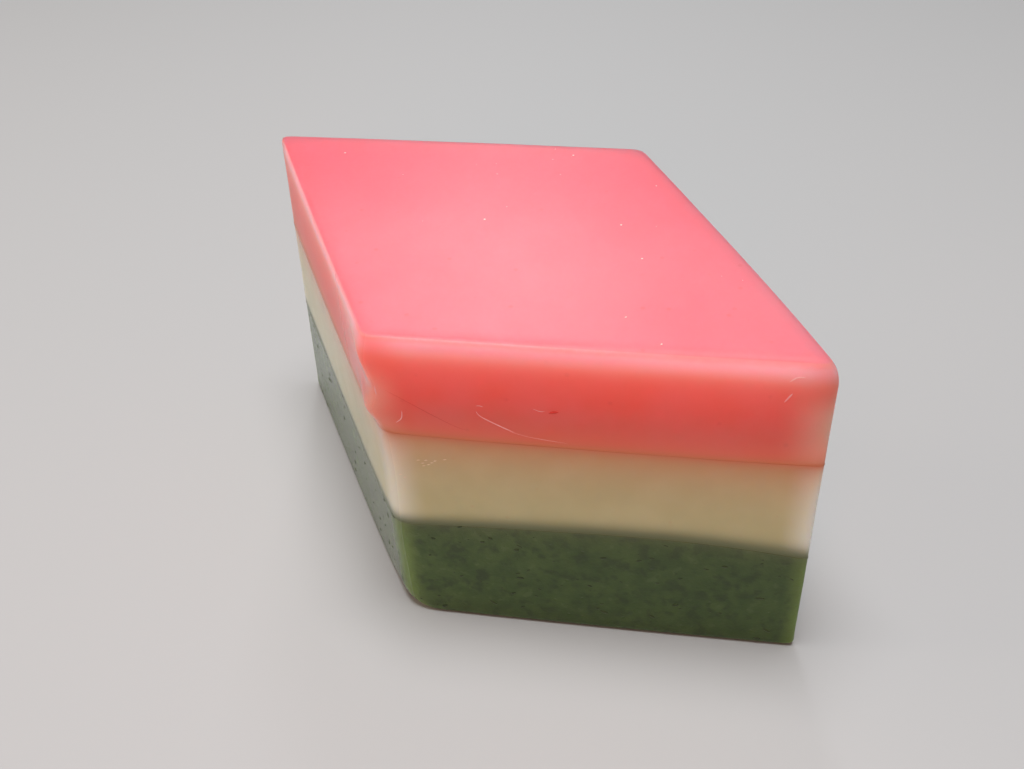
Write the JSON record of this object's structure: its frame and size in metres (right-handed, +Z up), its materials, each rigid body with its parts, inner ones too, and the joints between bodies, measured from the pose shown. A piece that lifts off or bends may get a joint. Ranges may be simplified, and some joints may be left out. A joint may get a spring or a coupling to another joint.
{
  "type": "hishi mochi",
  "caption": "Diamond-shaped layered rice cake: a pink slab on a white slab on a green mugwort slab, with straight cut sides and softly rounded edges.",
  "frame": {"origin": "on the surface that the cake stands on, under the middle of its box", "axes": "+X along the diamond's long diagonal, +Y along its short diagonal, +Z up through the layers, pink uppermost"},
  "size_m": [0.104, 0.0622, 0.0535],
  "materials": {
    "green_rice_cake": "moist, smooth, dark mugwort green with darker leaf flecks",
    "white_rice_cake": "moist, smooth, milky cream white, slightly see-through at the edges",
    "pink_rice_cake": "moist, smooth, warm pink, slightly see-through at the edges"
  },
  "bodies": {
    "root": {"green_layer": "green_rice_cake", "white_layer": "white_rice_cake", "pink_layer": "pink_rice_cake"}
  },
  "joints": []
}
